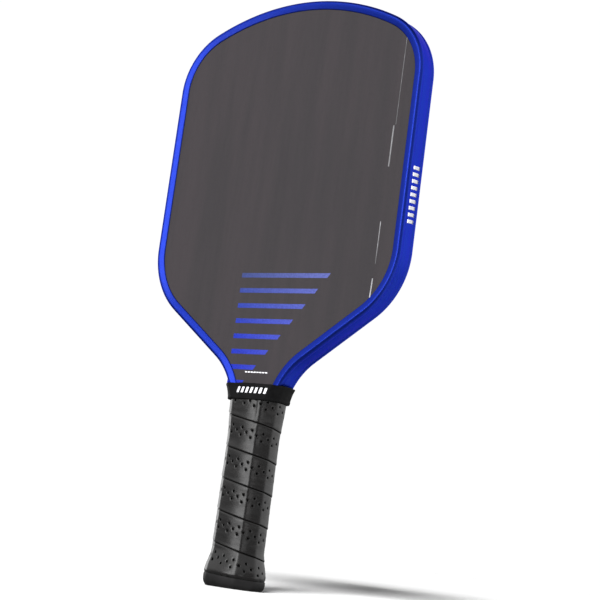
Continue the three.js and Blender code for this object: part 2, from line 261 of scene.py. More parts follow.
GUARD_LIP = 6.35  # width of the guard over a hitting face
GUARD_WALL = 1.9  # thickness of the wall round the edge
GUARD_RECESS = 0.4  # depth of the groove between the wall and each bead
BEAD_RISE = 0.25  # how far the beads' crests stand over the CAD's guard
CHANNEL_GAP = 0.04  # between the lips and the hitting faces
LIP_ROUNDING = 0.15


def guard_section():
    """Half of the guard's section, as (outwards, off the middle): from the wall over the bead to the lip."""
    crest = GUARD_CREST + BEAD_RISE
    return np.array([
        (-0.2, 0), (-0.22, 1.2), (-0.3, 2.6), (-GUARD_RECESS, 3.9), (-0.46, 4.5), (-0.36, 4.95), (-0.12, 5.4),
        (0, 6.0), (-0.05, 6.8), (-0.3, 7.6), (-0.85, crest - 0.5), (-1.5, crest - 0.12), (-2.2, crest),
        (-3.2, crest - 0.2), (-4.3, crest - 0.55), (-5.3, crest - 0.9), (-6.0, FACE_Y + 0.6),
        (-GUARD_LIP + 0.06, FACE_Y + 0.3), (-GUARD_LIP, FACE_Y + 0.06),
    ])


def subdivided(points, steps):
    """A Catmull-Rom curve through the points, with that many steps from each to the next."""
    padded = np.concatenate([[2 * points[0] - points[1]], points, [2 * points[-1] - points[-2]]])
    out = []
    for a, b, c, d in zip(padded, padded[1:], padded[2:], padded[3:]):
        for t in np.linspace(0, 1, steps, endpoint=False):
            out.append(0.5 * (2 * b + (c - a) * t + (2 * a - 5 * b + 4 * c - d) * t**2
                              + (3 * b - a - 3 * c + d) * t**3))
    out.append(points[-1])
    return np.array(out)


def edge_guard():
    """A channel of one section, swept round the blade from throat to throat."""
    outer = subdivided(guard_section(), steps=2)
    channel_y = FACE_Y + CHANNEL_GAP
    channel = np.array([(-GUARD_LIP + LIP_ROUNDING, channel_y), (-GUARD_WALL, channel_y)])
    half = np.concatenate([outer, channel])
    section = np.concatenate([half, (half[1:] * (1, -1))[::-1]])
    outlines = np.array([blade_outline(-x, GUARD_END) for x, _ in section])
    off_middle = np.tile(section[:, 1:], outlines.shape[1])
    rings = np.stack([outlines[:, :, 0], off_middle, outlines[:, :, 1]], 2).transpose(1, 0, 2)
    guard = mesh_object("edge_guard_channel", *loft(rings), guard_material())
    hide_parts("edge_guard")
    return guard


# ---- Prints ----

PRINT_LOW = 0.01  # heights of a print's underside and top over the hitting face
PRINT_HIGH = 0.06

BAR_LEFT = -23.3
BAR_TOP = 210  # height of the middle of the top bar
BAR_PITCH = 10.6
BAR_COUNT = 8
BAR_HEIGHT = 3.2
BAR_SLANT = 0.75  # of the right ends, as a share of the height
BAR_LONGEST = 73
BAR_SHORTEST = 14

# (top x, top z, bottom x, bottom z, width) of each stretch of the thin line
LINE_STRETCHES = [(85.9, 373.2, 85.6, 312.2, 0.45), (84.2, 311.6, 84.1, 283.5, 1.0),
                  (83.4, 246.3, 83.3, 217.9, 0.55), (82.6, 208.3, 82.2, 195, 0.85)]

DASH_LEFT = -9.4
DASH_LEVEL = 143.2
DASH_PITCH = 2.4
DASH_COUNT = 8
DASH_SHARE = 0.75  # length of a dash, as a share of the pitch
DASH_WIDTH = 0.8

# Rows of strokes. The origin lies off the surface, over the foot of the first stroke.
SIDE_ROW = {"origin": (115, -3.6, 246), "across": (0, 0, 1), "up": (0, 1, 0), "inwards": (-1, 0, 0),
            "count": 9, "pitch": 4.5, "size": (2.4, 7.6)}
COLLAR_ROW = {"origin": (-9, -30, 128.2), "across": (1, 0, 0), "up": (0, 0, 1), "inwards": (0, 1, 0),
              "count": 7, "pitch": 3.6, "size": (1.9, 4.0)}
STROKE_SLANT = 0.9
STROKE_CELLS = 5  # along each side of a stroke, so that it follows a curved surface


def face_print(corners):
    """A flat print on the front hitting face, from its corners (x, z)."""
    count = len(corners)
    points = [(x, y, z) for y in (-FACE_Y - PRINT_HIGH, -FACE_Y - PRINT_LOW) for x, z in corners]
    faces = [tuple(range(count)), tuple(range(count, 2 * count))[::-1]]
    faces += [(i, i + count, (i + 1) % count + count, (i + 1) % count) for i in range(count)]
    return points, faces


def printed_bars():
    """A plain stack of bars that grow shorter downwards, with slanted right ends."""
    parts = []
    for i in range(BAR_COUNT):
        middle = BAR_TOP - i * BAR_PITCH
        length = BAR_LONGEST + (BAR_SHORTEST - BAR_LONGEST) * i / (BAR_COUNT - 1)
        low, high = middle - BAR_HEIGHT / 2, middle + BAR_HEIGHT / 2
        slant = BAR_HEIGHT * BAR_SLANT
        right = BAR_LEFT + length
        parts.append(face_print([(BAR_LEFT, low), (right - slant, low), (right, high), (BAR_LEFT, high)]))
    return parts


def printed_lines():
    """The thin white line down the right of the face, in its stretches."""
    parts = []
    for top_x, top, low_x, low, width in LINE_STRETCHES:
        half = width / 2
        corners = [(low_x - half, low), (low_x + half, low), (top_x + half, top), (top_x - half, top)]
        parts.append(face_print(corners))
    return parts


def printed_dashes():
    """A thin dashed line across the foot of the face."""
    parts = []
    for i in range(DASH_COUNT):
        left = DASH_LEFT + i * DASH_PITCH
        right = left + DASH_SHARE * DASH_PITCH
        low, high = DASH_LEVEL - DASH_WIDTH / 2, DASH_LEVEL + DASH_WIDTH / 2
        parts.append(face_print([(left, low), (right, low), (right, high), (left, high)]))
    return parts


def ink(name, parts, material, smooth=True):
    """The parts of a print as one piece."""
    piece = mesh_object(name, *join_parts(parts), material, smooth)
    return piece


def prints():
    return [
        ink("printed_bars", printed_bars(), bar_material(), smooth=False),
        ink("printed_lines", printed_lines(), white_ink_material(), smooth=False),
        ink("printed_dashes", printed_dashes(), clean_ink_material(), smooth=False),
    ]


def laid_on(surface, origin, across, up, inwards, corners):
    """A thin print, thrown onto a surface along inwards. Its corners are (across, up) from the origin."""
    low_left, low_right, high_right, high_left = (Vector(corner) for corner in corners)
    last = STROKE_CELLS
    size = last + 1
    outside = []
    for j in range(size):
        left = low_left.lerp(high_left, j / last)
        right = low_right.lerp(high_right, j / last)
        for i in range(size):
            u, v = left.lerp(right, i / last)
            hit, normal, _, _ = surface.ray_cast(origin + across * u + up * v, inwards)
            if normal.dot(inwards) > 0:
                normal = -normal
            outside.append(hit + normal * PRINT_HIGH)
    points = [tuple(p) for p in outside] + [tuple(p + inwards * 2 * PRINT_HIGH) for p in outside]
    under = len(outside)
    cells = [(j * size + i, j * size + i + 1, (j + 1) * size + i + 1, (j + 1) * size + i)
             for j in range(last) for i in range(last)]
    rim = list(range(size)) + [j * size + last for j in range(1, size)]
    rim += [last * size + i for i in range(last - 1, -1, -1)] + [j * size for j in range(last - 1, 0, -1)]
    faces = cells + [tuple(i + under for i in cell[::-1]) for cell in cells]
    faces += [(a, b, b + under, a + under) for a, b in zip(rim, rim[1:] + rim[:1])]
    return points, faces


def slashes(target, origin, across, up, inwards, count, pitch, size):
    """A plain row of slanted strokes on an object's surface."""
    places = [vert.co / MM for vert in target.data.vertices]
    surface = BVHTree.FromPolygons(places, [tuple(face.vertices) for face in target.data.polygons])
    origin, across, up, inwards = (Vector(v) for v in (origin, across, up, inwards))
    wide, tall = size
    parts = []
    for i in range(count):
        left = i * pitch
        foot = [(left, 0), (left + wide, 0)]
        top = [(left + wide + STROKE_SLANT, tall), (left + STROKE_SLANT, tall)]
        parts.append(laid_on(surface, origin, across, up, inwards, foot + top))
    return parts


def strokes(guard, band):
    """Rows of plain strokes on the side wall and the collar, where the real paddle has lettering."""
    return [
        ink("side_strokes", slashes(guard, **SIDE_ROW), clean_ink_material()),
        ink("collar_strokes", slashes(band, **COLLAR_ROW), clean_ink_material()),
    ]


# ---- Grip wrap ----

SEAM_PITCH = 21.2
SEAM_HEIGHT = 26.2  # height of a seam in the middle of the front
TURNS_BELOW = 2  # below that seam, before the tape is cut to length
GRIP_WALL = 1.6
GRIP_SLACK = 0.1  # by which the inner surface lies further in than its ends
INNER_HEIGHTS = [12, 16, 20, FLARE_TOP, 60, 100, GRIP_HIGH[2] - 3]
GRIP_CUT_SLOPE = 0.05  # the tape's lower edge falls by this share to the right on the front
GRIP_SHARP_ANGLE = 62

DIAGONALS_PER_TURN = 13
HOLES_PER_DIAGONAL = 3
HOLE_RADIUS = 0.75
HOLE_DEPTH = 1.1
HOLE_RIM = 0.14  # depth of the rounded rim
HOLE_RINGS = [(HOLE_RADIUS + 0.2, 0), (HOLE_RADIUS, HOLE_RIM), (HOLE_RADIUS - 0.1, HOLE_DEPTH)]
HOLE_DISH = 0.05  # by which the middle of the bottom is deeper
HOLE_POINTS = 12
HOLE_CLEARANCE = 0.42  # from a hole's radius to the nearest point of the cell's grid
HOLE_STEP = (3.6, -2.55)  # from one hole of a diagonal to the next, along and across the tape
HOLE_TOP = 15.1  # the first hole of a diagonal over the seam below it
HOLE_START = -0.35  # place of one first hole, right of the middle of the front

CELL_COLUMNS = 10
CELL_ROWS = 26
CELL_MARGIN = 1.8  # from a diagonal's last hole to the cell's right side
CELL_LEAN = 3  # columns by which a cell's top lies left of its foot, to pass between two diagonals
LEAN_OVER_LAST = 0.7  # where the lean starts over the last hole
LEAN_UNDER_FIRST = 0.6  # where it ends under the first hole

# (height, reach) of the four curves that add up to the tape's section
LAP_SWELL = (0.34, 3)
LOWER_EDGE = (-1.24, 0.12)
UPPER_EDGE = (-0.75, 0.35)
UPPER_DIP = (-0.15, 2.2)
CUT_TUCK = (0.6, 0.4)  # the same for how far the cut edge at the cap is drawn in

SWELL_FROM = 97  # height from which the tape thickens towards the collar
SWELL_FRONT = 0.6  # by how much on the front and rear. It is 1 mm more at the sides.

# (height, size on each axis, seed) of the tape's bumps
DENTS = (0.1, (11, 11, 7), 3.1)
CREASES = (0.11, (13, 13, 2.6), 8.7)
FINE_BUMPS = (0.03, (3.5, 3.5, 1.6), 5.3)
SEAM_SWAY = (0.3, (22, 22, 60), 1.9)


class Perimeter:
    """The rounded octagon of the handle by distance along it, anticlockwise from the middle of the front."""

    def __init__(self):
        ring, normals = octagon_ring(*HANDLE, HANDLE_ROUNDING, per_side=40, per_corner=16)
        self.ring = np.concatenate([ring, ring[:1]])
        self.normals = np.concatenate([normals, normals[:1]])
        steps = np.linalg.norm(np.diff(self.ring, axis=0), axis=1)
        self.along = np.concatenate([[0], np.cumsum(steps)])
        self.length = self.along[-1]

    def at(self, distance):
        """Points of the octagon at some distances, and the outward directions there."""
        place = np.mod(distance, self.length)
        point = np.stack([np.interp(place, self.along, self.ring[:, i]) for i in (0, 1)], 1)
        normal = np.stack([np.interp(place, self.along, self.normals[:, i]) for i in (0, 1)], 1)
        return point, normal / np.linalg.norm(normal, axis=1)[:, None]


def grip_cell(width):
    """One repeat of the tape: points (along, across), their depth below the surface, triangles, and which of
    those lie in a hole."""
    column = width / CELL_COLUMNS
    holes = [(i * HOLE_STEP[0], HOLE_TOP + i * HOLE_STEP[1]) for i in range(HOLES_PER_DIAGONAL)]
    border_low = holes[-1][0] + CELL_MARGIN - width
    lean_from, lean_to = holes[-1][1] + LEAN_OVER_LAST, holes[0][1] - LEAN_UNDER_FIRST
    points = []
    depths = []
    number = {}
    for row in range(CELL_ROWS + 1):
        v = SEAM_PITCH * (0.5 - 0.5 * math.cos(math.pi * row / CELL_ROWS))
        lean = min(max((v - lean_from) / (lean_to - lean_from), 0), 1) * CELL_LEAN
        for i in range(CELL_COLUMNS + 1):
            u = border_low + (i - lean) * column
            if min(math.hypot(u - x, v - y) for x, y in holes) > HOLE_RADIUS + HOLE_CLEARANCE:
                number[i, row] = len(points)
                points.append((u, v))
                depths.append(0)
    columns, rows = range(CELL_COLUMNS + 1), range(CELL_ROWS + 1)
    border = [(i, 0) for i in columns] + [(CELL_COLUMNS, row) for row in rows[1:]]
    border += [(i, CELL_ROWS) for i in columns[-2::-1]] + [(0, row) for row in rows[-2:0:-1]]
    border = [number[place] for place in border]
    edges = list(zip(border, border[1:] + border[:1]))
    for x, y in holes:
        for radius, depth in HOLE_RINGS:
            start = len(points)
            for k in range(HOLE_POINTS):
                angle = 2 * math.pi * k / HOLE_POINTS
                points.append((x + radius * math.cos(angle), y + radius * math.sin(angle)))
                depths.append(depth)
                edges.append((start + k, start + (k + 1) % HOLE_POINTS))
        points.append((x, y))
        depths.append(HOLE_DEPTH + HOLE_DISH)
    result = delaunay_2d_cdt([Vector(p) for p in points], edges, [], 1, 1e-5)
    flat, triangles, origin = result[0], result[2], result[3]
    depth = np.array([depths[source[0]] for source in origin])
    triangles = np.array([tuple(t) for t in triangles])
    in_hole = depth[triangles].min(axis=1) > HOLE_RIM / 2
    return np.array([tuple(p) for p in flat]), depth, triangles, in_hole


def fading(height, reach, distance):
    return height * np.exp(-distance / reach)


def tape_profile(across):
    """Height of the tape over its mean surface. The upper turn's lower edge lies over the turn below."""
    below = across
    above = SEAM_PITCH - across
    lower_edge = fading(*LAP_SWELL, below) + fading(*LOWER_EDGE, below)
    upper_edge = fading(*UPPER_EDGE, above) + fading(*UPPER_DIP, above)
    return lower_edge + upper_edge


def top_swell(height, normal):
    """The tape thickens towards the collar, more at the sides than at the front and rear."""
    share = np.clip((height - SWELL_FROM) / (COLLAR_LOW[2] - SWELL_FROM), 0, 1)
    return share * share * (3 - 2 * share) * (SWELL_FRONT + np.abs(normal[:, 0]))


def grip_skin():
    """The outside of the wound tape, running past both ends of the grip: its points, its triangles, and which
    of those lie in a hole."""
    perimeter = Perimeter()
    width = perimeter.length / DIAGONALS_PER_TURN
    cell, depth, triangles, in_hole = grip_cell(width)
    turns_above = math.ceil((GRIP_HIGH[2] - SEAM_HEIGHT) / SEAM_PITCH) + 1
    points = []
    faces = []
    dark = []
    for index in range(-turns_above * DIAGONALS_PER_TURN, TURNS_BELOW * DIAGONALS_PER_TURN):
        distance = HOLE_START + index * width + cell[:, 0]
        height = SEAM_HEIGHT - SEAM_PITCH * distance / perimeter.length + cell[:, 1]
        place, normal = perimeter.at(distance)
        out = flare_at(height) + top_swell(height, normal) + tape_profile(cell[:, 1]) - depth
        faces.extend(triangles + len(points))
        dark.extend(in_hole)
        points.extend(np.c_[place + normal * out[:, None], height])
    return np.array(points), np.array(faces), dark


def bumps(height, scale, seed, point):
    return height * smooth_noise(point, scale, seed)


def rough_up(points):
    """Soft creases and dents of the tape. A point's shift depends on its place alone, so joined edges stay
    joined."""
    moved = points.copy()
    for i, p in enumerate(points):
        radial = Vector((p[0], p[1], 0)).normalized()
        over_cut = p[2] - GRIP_LOW[2] + GRIP_CUT_SLOPE * p[0]
        tuck = CUT_TUCK[0] * math.exp(-max(over_cut, 0) / CUT_TUCK[1])
        out = bumps(*DENTS, p) + bumps(*CREASES, p) + bumps(*FINE_BUMPS, p) - tuck
        moved[i] = (p[0] + radial.x * out, p[1] + radial.y * out, p[2] + bumps(*SEAM_SWAY, p))
    return moved


def grip_wrap():
    """One tape wound on as a closed solid, cut off at the cap and under the collar."""
    points, faces, dark = grip_skin()
    work = bmesh.new()
    verts = [work.verts.new(p) for p in rough_up(points)]
    for face, in_hole in zip(faces, dark):
        work.faces.new([verts[i] for i in face]).material_index = int(in_hole)
    bmesh.ops.remove_doubles(work, verts=work.verts, dist=1e-3)
    low = GRIP_LOW[2]
    cuts = [((0, 0, low), Vector((-GRIP_CUT_SLOPE, 0, -1))), ((0, 0, GRIP_HIGH[2]), Vector((0, 0, 1)))]
    for place, normal in cuts:
        everything = work.verts[:] + work.edges[:] + work.faces[:]
        bmesh.ops.bisect_plane(work, geom=everything, dist=1e-4, plane_co=place, plane_no=normal.normalized(),
                               clear_outer=True)
    close_inside(work)
    bmesh.ops.recalc_face_normals(work, faces=work.faces)
    bmesh.ops.scale(work, vec=(MM, MM, MM), verts=work.verts)
    mesh = bpy.data.meshes.new("grip_wrap_tape")
    work.to_mesh(mesh)
    work.free()
    mesh.polygons.foreach_set("use_smooth", [True] * len(mesh.polygons))
    mesh.set_sharp_from_angle(angle=math.radians(GRIP_SHARP_ANGLE))
    mesh.materials.append(grip_material())
    # The faces in the holes get the second finish, which is painted shade.
    mesh.materials.append(hole_material())
    grip = in_scene("grip_wrap_tape", mesh)
    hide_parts("grip_wrap")
    return grip


def close_inside(work):
    """Adds the tape's ends and its inner surface, so that it is one closed solid."""
    boundary = [edge for edge in work.edges if edge.is_boundary]
    middle = (GRIP_LOW[2] + GRIP_HIGH[2]) / 2
    lower = ordered_loop([edge for edge in boundary if edge.verts[0].co.z < middle])
    upper = ordered_loop([edge for edge in boundary if edge.verts[0].co.z > middle])
    rings = [[work.verts.new(p) for p in handle_ring(z, GRIP_WALL + GRIP_SLACK)] for z in INNER_HEIGHTS]
    inner_low = [work.verts.new(inwards(vert.co, GRIP_WALL)) for vert in lower]
    inner_high = [work.verts.new(inwards(vert.co, GRIP_WALL)) for vert in upper]
    zip_loops(work, lower, inner_low)
    zip_loops(work, inner_low, rings[0])
    for below, above in zip(rings, rings[1:]):
        zip_loops(work, below, above)
    zip_loops(work, rings[-1], inner_high)
    zip_loops(work, inner_high, upper)


def inwards(point, distance):
    flat = Vector((point.x, point.y, 0))
    return point - flat.normalized() * distance


def ordered_loop(edges):
    """The vertices of a closed loop of edges, anticlockwise seen from above."""
    links = {}
    for edge in edges:
        a, b = edge.verts
        links.setdefault(a, []).append(b)
        links.setdefault(b, []).append(a)
    before, loop = None, [edges[0].verts[0]]
    while len(loop) < len(links):
        after = next(v for v in links[loop[-1]] if v is not before)
        before = loop[-1]
        loop.append(after)
    area = sum(a.co.x * b.co.y - b.co.x * a.co.y for a, b in zip(loop, loop[1:] + loop[:1]))
    return loop if area > 0 else loop[::-1]


def zip_loops(work, lower, upper):
    """Triangles between two loops that go round the Z axis, matched by their angle."""
    def unrolled(loop):
        """(angle, vertex) pairs once round, from the lowest angle back to the same vertex."""
        pairs = [(math.atan2(vert.co.y, vert.co.x), vert) for vert in loop]
        first = min(range(len(pairs)), key=lambda i: pairs[i][0])
        angle, vert = pairs[first]
        return pairs[first:] + pairs[:first] + [(angle + 2 * math.pi, vert)]

    low, high = unrolled(lower), unrolled(upper)
    i = j = 0
    while i < len(lower) or j < len(upper):
        a, b = low[i][1], high[j][1]
        if j == len(upper) or (i < len(lower) and low[i + 1][0] <= high[j + 1][0]):
            i += 1
            work.faces.new([a, low[i][1], b])
        else:
            j += 1
            work.faces.new([a, high[j][1], b])


# ---- Collar ----

COLLAR_LOWER = (21.2, 14, 8)  # half width, half thickness and corner cut of its lower and upper octagon
COLLAR_UPPER = (24.1, 12.3, 5.6)
COLLAR_ROUNDING = 2.8
COLLAR_WALL = 1.2
COLLAR_LIP = 0.35

# (share of the height, distance outwards), up the outside from lip to lip and down the inside
COLLAR_OUTSIDE = [
    (0.0, -0.45), (0.012, -0.05), (0.05, COLLAR_LIP * 0.8), (0.1, COLLAR_LIP), (0.16, 0.2), (0.24, 0.02),
    (0.38, -0.06), (0.5, -0.1), (0.62, -0.06), (0.76, 0.02),
    (0.84, 0.2), (0.9, COLLAR_LIP), (0.95, COLLAR_LIP * 0.8), (0.988, -0.05), (1.0, -0.45),
]
COLLAR_INSIDE = [(share, -COLLAR_WALL) for share in (0.97, 0.7, 0.3, 0.03)]

COLLAR_WAVE = ((7, 7, 30), 4.4)  # size of the bumps on each axis, and seed
COLLAR_RIPPLE = ((2.4, 2.4, 4), 9.2)
LIP_PUSH = (0.3, 0.12)  # how far a wave and a ripple push the lips outwards
LIP_LIFT = (0.35, 0.2)  # and how far up and down
BAND_PUSH = 0.08  # how far a ripple pushes the whole band


def collar_ring(share, height, out):
    """A ring of the collar at a share of its height, moved outwards."""
    lower = octagon_ring(*COLLAR_LOWER, COLLAR_ROUNDING, per_side=14, per_corner=8)
    upper = octagon_ring(*COLLAR_UPPER, COLLAR_ROUNDING, per_side=14, per_corner=8)
    ring, normals = (low * (1 - share) + high * share for low, high in zip(lower, upper))
    normals /= np.linalg.norm(normals, axis=1)[:, None]
    return ring_at(ring + normals * out, height)


def collar():
    """A stretched band with rolled lips and an uneven edge."""
    low = COLLAR_LOW[2]
    tall = COLLAR_HIGH[2] - low
    rings = []
    for share, out in COLLAR_OUTSIDE + COLLAR_INSIDE:
        ring = collar_ring(share, low + share * tall, out)
        edge = abs(share - 0.5) * 2
        for p in ring:
            wave = smooth_noise(p, *COLLAR_WAVE)
            ripple = smooth_noise(p, *COLLAR_RIPPLE)
            radial = Vector((p[0], p[1], 0)).normalized()
            push = (LIP_PUSH[0] * wave + LIP_PUSH[1] * ripple) * edge**2 + BAND_PUSH * ripple
            p[0] += radial.x * push
            p[1] += radial.y * push
            p[2] += (LIP_LIFT[0] * wave + LIP_LIFT[1] * ripple) * (share - 0.5) * edge
        rings.append(ring)
    made = mesh_object("grip_collar_band", *loft(rings, closed=True), rubber_material())
    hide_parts("grip_collar")
    return made


# ---- Butt cap and badge ----

CAP_SHOULDER = GRIP_LOW[2] - 0.25  # where the tape's lower edge meets the cap
CAP_SHARP_ANGLE = 50
BADGE_CLEARANCE = 0.3
RECESS_TOP = 1.6
RECESS_CHAMFER = (0.25, 0.2)  # outwards and upwards
SOCKET_INSET = 1.75  # from the handle's outside to the inside of the cap
SOCKET_BOTTOM = 4
SKIRT_INSET = 1.95  # from the handle's outside to the outside of the cap's hidden top

# (height, growth over the handle's octagon) up the cap's bare band, and over its shoulder under the tape
CAP_BAND = [(CAP_LOW[2], 0.9), (0.12, 1.25), (0.35, 1.5), (1.7, 2.45), (2.1, 2.7), (2.8, 2.95), (4.2, 3.15),
            (6.0, 3.2), (7.0, 3.1), (CAP_SHOULDER, 2.85)]
CAP_STEP = [(CAP_SHOULDER, 2.6), (CAP_SHOULDER, 1.45), (CAP_SHOULDER + 1.8, 1.35)]

# (share of the badge's size, height over its underside) from its middle to its edge
BADGE_RELIEF = [(0.25, 0.02), (0.6, 0.06), (0.84, 0.14), (0.88, 0.3), (0.91, 0.14), (0.97, 0.18), (1.0, 0.35)]


def ellipse_ring(half_width, half_thickness, z):
    """An ellipse at height z, whose points lie in the same directions as those of the handle's octagon."""
    like, _ = octagon_ring(*HANDLE, HANDLE_ROUNDING)
    angles = np.arctan2(like[:, 1] / half_thickness, like[:, 0] / half_width)
    return ring_at(np.stack([half_width * np.cos(angles), half_thickness * np.sin(angles)], 1), z)


def butt_cap():
    """A cap with a bare band, a hidden skirt, a socket for the handle and a recess for the badge."""
    high = CAP_HIGH[2]
    badge_x = BADGE_HIGH[0] + BADGE_CLEARANCE
    badge_y = BADGE_HIGH[1] + BADGE_CLEARANCE
    wider, chamfer_top = RECESS_CHAMFER
    recess = [
        ellipse_ring(badge_x, badge_y, RECESS_TOP),
        ellipse_ring(badge_x, badge_y, chamfer_top),
        ellipse_ring(badge_x + wider, badge_y + wider, CAP_LOW[2]),
    ]
    outside = [handle_ring(z, 0, growth) for z, growth in CAP_BAND + CAP_STEP]
    for ring, (z, _) in zip(outside, CAP_BAND + CAP_STEP):
        ring[:, 2] -= GRIP_CUT_SLOPE * ring[:, 0] * min(z / CAP_SHOULDER, 1)
    skirt = [handle_ring(z, SKIRT_INSET) for z in (11, 13, 15, high)]
    socket = [handle_ring(z, SOCKET_INSET, 0) for z in (high, high - 1, SOCKET_BOTTOM)]
    made = mesh_object("butt_cap_moulding", *loft(recess + outside + skirt + socket), cap_material())
    made.data.set_sharp_from_angle(angle=math.radians(CAP_SHARP_ANGLE))
    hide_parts("butt_cap")
    return made


def butt_badge():
    """A plain disc with a raised ring near its edge."""
    wide, thick, top = BADGE_HIGH
    relief = [(share, BADGE_LOW[2] + rise) for share, rise in BADGE_RELIEF] + [(1.0, top - 0.1), (0.98, top)]
    rings = [ellipse_ring(wide * share, thick * share, z) for share, z in relief]
    made = mesh_object("butt_badge_disc", *loft(rings), badge_material())
    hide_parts("butt_badge")
    return made


# ---- Materials ----

# Lengths here are in metres, and the scale of a grain is in bumps per metre.

WEAVE_PITCH = 0.00062
WEAVE_DEPTH = 0.00005
BARS_UPWARDS = ("Z", 0.14, 0.072)  # axis, start and length of a print's change of tone
BARS_SIDEWAYS = ("X", -0.022, 0.07)
LINE_UPWARDS = ("Z", 0.19, 0.2)

# (share of the line's height, grey) of its worn ink
LINE_GREYS = [(0.0, 0.22), (0.09, 0.16), (0.14, 0.05), (0.27, 0.17), (0.45, 0.10), (0.6, 0.11), (0.612, 0.06),
              (1.0, 0.085)]


def grey(level):
    return (level, level, level)


class Nodes:
    """A node tree with short calls for its nodes."""

    def __init__(self, tree):
        self.tree = tree

    def node(self, kind, output, inputs, **settings):
        """An output of a new node with these settings. An input takes a number, colour, vector or link."""
        node = self.tree.nodes.new("ShaderNode" + kind)
        for name, value in settings.items():
            setattr(node, name, value)
        for name, value in inputs.items():
            socket = node.inputs[name]
            if isinstance(value, bpy.types.NodeSocket):
                self.tree.links.new(value, socket)
            else:
                socket.default_value = (*value, 1) if socket.type == "RGBA" else value
        return node.outputs[output]

    def maths(self, operation, a, b=0.0):
        return self.node("Math", 0, {0: a, 1: b}, operation=operation)


class Paint(Nodes):
    """A material with short calls for what the finishes here share."""

    def __init__(self, name):
        self.material = bpy.data.materials.new(name)
        self.material.use_nodes = True
        super().__init__(self.material.node_tree)
        self.shader = self.tree.nodes["Principled BSDF"]
        self.place = self.node("TexCoord", "Object", {})

    def set(self, **values):
        for name, value in values.items():
            self.shader.inputs[name.replace("_", " ")].default_value = value
        return self

    def stretched(self, scale):
        """The place in metres times a scale, which is one number or one for each axis."""
        axes = scale if isinstance(scale, tuple) else (scale, scale, scale)
        return self.node("Mapping", "Vector", {"Vector": self.place, "Scale": axes})

    def noise(self, scale, detail=3, roughness=0.5):
        inputs = {"Vector": self.stretched(scale), "Scale": 1, "Detail": detail, "Roughness": roughness}
        return self.node("TexNoise", "Fac", inputs)

    def cells(self, scale):
        """Distance from the nearest of many scattered points."""
        return self.node("TexVoronoi", "Distance", {"Vector": self.stretched(scale), "Scale": 1})

    def axis(self, name):
        return self.node("SeparateXYZ", name, {0: self.place})

    def share_along(self, axis, start, length):
        """From 0 to 1 along an axis, over a length from start."""
        return self.maths("DIVIDE", self.maths("SUBTRACT", self.axis(axis), start), length)

    def ramp(self, value, stops):
        """A colour by value. stops are (value, colour) pairs."""
        node = self.tree.nodes.new("ShaderNodeValToRGB")
        elements = node.color_ramp.elements
        while len(elements) < len(stops):
            elements.new(0.5)
        for element, (place, colour) in zip(elements, stops):
            element.position = place
            element.color = (*colour, 1)
        self.tree.links.new(value, node.inputs[0])
        return node.outputs["Color"]

    def two_tones(self, grain, dark, light):
        return self.ramp(grain, [(0.3, dark), (0.7, light)])

    def scaled(self, value, low, high):
        """value from 0..1 to low..high."""
        return self.node("MapRange", "Result", {"Value": value, "To Min": low, "To Max": high})

    def mix(self, factor, a, b, kind="MIX"):
        inputs = {"Factor": factor, "A": a, "B": b}
        return self.node("Mix", "Result", inputs, data_type="RGBA", blend_type=kind)

    def finished(self, colour, roughness):
        self.tree.links.new(colour, self.shader.inputs["Base Color"])
        self.tree.links.new(roughness, self.shader.inputs["Roughness"])
        return self.material

    def bump(self, height, strength, distance):
        """Adds a bump over the ones that are there."""
        inputs = {"Height": height, "Strength": strength, "Distance": distance}
        normal = self.shader.inputs["Normal"]
        if normal.links:
            inputs["Normal"] = normal.links[0].from_socket
        self.tree.links.new(self.node("Bump", "Normal", inputs), normal)


def weave(paint):
    """Height of a fine fabric imprint on the XZ plane."""
    turn = 2 * math.pi / WEAVE_PITCH
    warp = paint.maths("SINE", paint.maths("MULTIPLY", paint.axis("X"), turn))
    weft = paint.maths("SINE", paint.maths("MULTIPLY", paint.axis("Z"), turn))
    return paint.maths("MULTIPLY", warp, weft)


def carbon_material():
    """Raw carbon: long streaks, mottling, pale fibre ends, a few specks and the imprint of a weave."""
    paint = Paint("raw_carbon").set(Specular_IOR_Level=0.15)
    streaks = paint.noise((70, 70, 5), 4, 0.6)
    tone = paint.ramp(streaks, [(0.38, (0.0175, 0.0158, 0.0173)), (0.62, (0.0207, 0.0178, 0.0196))])
    mottling = paint.scaled(paint.noise(420), 0.85, 1.15)
    base = paint.mix(1.0, tone, paint.mix(mottling, grey(0), grey(1)), "MULTIPLY")
    fibres = paint.noise((2600, 2600, 60), 2)
    base = paint.mix(paint.scaled(fibres, 0, 0.16), base, (0.04, 0.038, 0.038))
    speck = paint.ramp(paint.cells(36), [(0.010, grey(1)), (0.016, grey(0))])
    paint.bump(weave(paint), 0.35, WEAVE_DEPTH)
    paint.bump(paint.noise(900), 0.3, 0.00008)
    gloss = paint.noise((300, 300, 40))
    return paint.finished(paint.mix(speck, base, grey(0.3)), paint.scaled(gloss, 0.55, 0.75))


def guard_material():
    """Metallic blue, with fine flakes, slow drifts of tone and a thin coat."""
    paint = Paint("metallic_blue_guard").set(Metallic=1.0, Coat_Weight=0.14, Coat_Roughness=0.2,
                                             Specular_Tint=(0.12, 0.22, 1.0, 1.0))
    flakes = paint.noise(2200, 2)
    drift = paint.noise((25, 25, 12), 2)
    base = paint.ramp(flakes, [(0.35, (0.012, 0.040, 0.46)), (0.65, (0.020, 0.054, 0.56))])
    base = paint.mix(paint.scaled(drift, 0.0, 0.12), base, (0.03, 0.03, 0.45))
    paint.bump(paint.noise(350, 2), 0.12, 0.00008)
    return paint.finished(base, paint.scaled(paint.noise(160), 0.36, 0.45))


